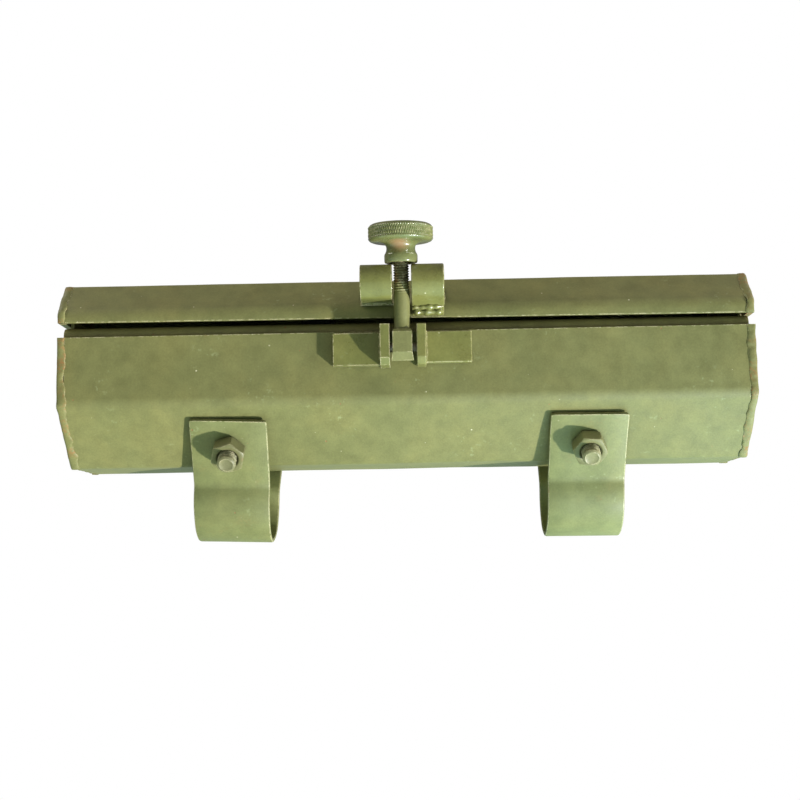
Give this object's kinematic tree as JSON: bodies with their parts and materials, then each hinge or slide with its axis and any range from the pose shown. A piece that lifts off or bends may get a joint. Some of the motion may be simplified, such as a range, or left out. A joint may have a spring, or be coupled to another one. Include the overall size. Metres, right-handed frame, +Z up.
{
  "type": "laser collimator",
  "caption": "Olive-drab sheet-steel case holding a laser collimator tube, with a rear-hinged lid, a swing-bolt latch and U straps that clamp it under a tube.",
  "frame": {"origin": "centre of the case's flat bottom, where the rail tube bears between the straps", "axes": "+X along the case towards the beam window, -Y towards the latch, +Z up towards the lid"},
  "size_m": [0.222, 0.091, 0.0987],
  "materials": {
    "olive_paint": "satin olive-drab enamel over sheet steel, chipped to primer and rust at the edges",
    "bare_steel": "bare dull steel with brown tarnish",
    "cradle_steel": "dark olive enamel",
    "felt": "thin grey-green felt",
    "foam": "soft black foam rubber",
    "black_anodised": "black anodised aluminium, fine turned lines",
    "aluminium": "turned bare aluminium",
    "brass": "turned brass",
    "coated_glass": "clear coated optical glass",
    "rubber": "black rubber",
    "circuit_board": "green circuit board",
    "battery_wrap": "plain blue shrink wrap"
  },
  "bodies": {
    "case": {"body_trough": "olive_paint", "body_end_left": "olive_paint", "body_end_right": "olive_paint", "front_lip": "olive_paint", "rear_lip": "olive_paint", "hinge_leaf_body_left": "olive_paint", "hinge_leaf_body_right": "olive_paint", "latch_bracket_left": "olive_paint", "latch_bracket_right": "olive_paint", "strap_left": "olive_paint", "strap_right": "olive_paint", "strap_nut_front_left": "olive_paint", "strap_nut_rear_left": "olive_paint", "strap_nut_front_right": "olive_paint", "strap_nut_rear_right": "olive_paint", "hinge_pin_left": "bare_steel", "hinge_pin_right": "bare_steel", "latch_pivot_pin": "bare_steel", "strap_screw_front_left": "bare_steel", "strap_screw_rear_left": "bare_steel", "strap_screw_front_right": "bare_steel", "strap_screw_rear_right": "bare_steel", "battery_spring": "bare_steel", "cradle_left": "cradle_steel", "cradle_right": "cradle_steel", "cradle_pad_left": "felt", "cradle_pad_right": "felt", "collimator_tube": "black_anodised", "lens_retaining_ring": "black_anodised", "battery_sleeve": "black_anodised", "battery_cap": "black_anodised", "lens_cell": "aluminium", "diode_housing": "aluminium", "window_holder": "aluminium", "alignment_screw_1": "brass", "alignment_screw_2": "brass", "alignment_screw_3": "brass", "laser_diode": "brass", "objective_lens": "coated_glass", "beam_window": "coated_glass", "window_gasket": "rubber", "circuit_board": "circuit_board", "battery": "battery_wrap"},
    "lid": {"lid_shell": "olive_paint", "lid_end_left": "olive_paint", "lid_end_right": "olive_paint", "lid_pad_left": "foam", "lid_pad_right": "foam", "catch_lug_left": "olive_paint", "catch_lug_right": "olive_paint", "hinge_leaf_lid_left": "olive_paint", "hinge_leaf_lid_right": "olive_paint"},
    "swing_bolt": {"swing_bolt": "olive_paint"},
    "nut_carriage": {"nut_thread_sleeve": "brass"},
    "knurled_nut": {"knurled_nut": "olive_paint"},
    "switch_button": {"switch_button": "brass"}
  },
  "joints": [
    {"name": "latch_swing", "type": "hinge", "parent": "case", "child": "swing_bolt", "pos_m": [-0.0008, -0.039, 0.0345], "axis": [1, 0, 0], "range_deg": [0, 180]},
    {"name": "lid_hinge", "type": "hinge", "parent": "case", "child": "lid", "pos_m": [0, 0.0358, 0.043], "axis": [-1, 0, 0], "range_deg": [0, 90]},
    {"name": "nut_lift", "type": "slide", "parent": "swing_bolt", "child": "nut_carriage", "axis": [0, -0.0958, 0.9954], "range_m": [0, 0.13]},
    {"name": "nut_spin", "type": "hinge", "parent": "nut_carriage", "child": "knurled_nut", "pos_m": [-0.0008, -0.039, 0.0345], "axis": [0, -0.0958, 0.9954], "continuous": true},
    {"name": "switch_press", "type": "slide", "parent": "case", "child": "switch_button", "axis": [1, 0, 0], "range_m": [0, 0.0012], "stiffness_N_per_m": 300, "springref_m": -0.002}
  ],
  "couplings": [
    {"joint": "nut_lift", "follows": "lid_hinge", "m_per_rad": 0.08}
  ]
}
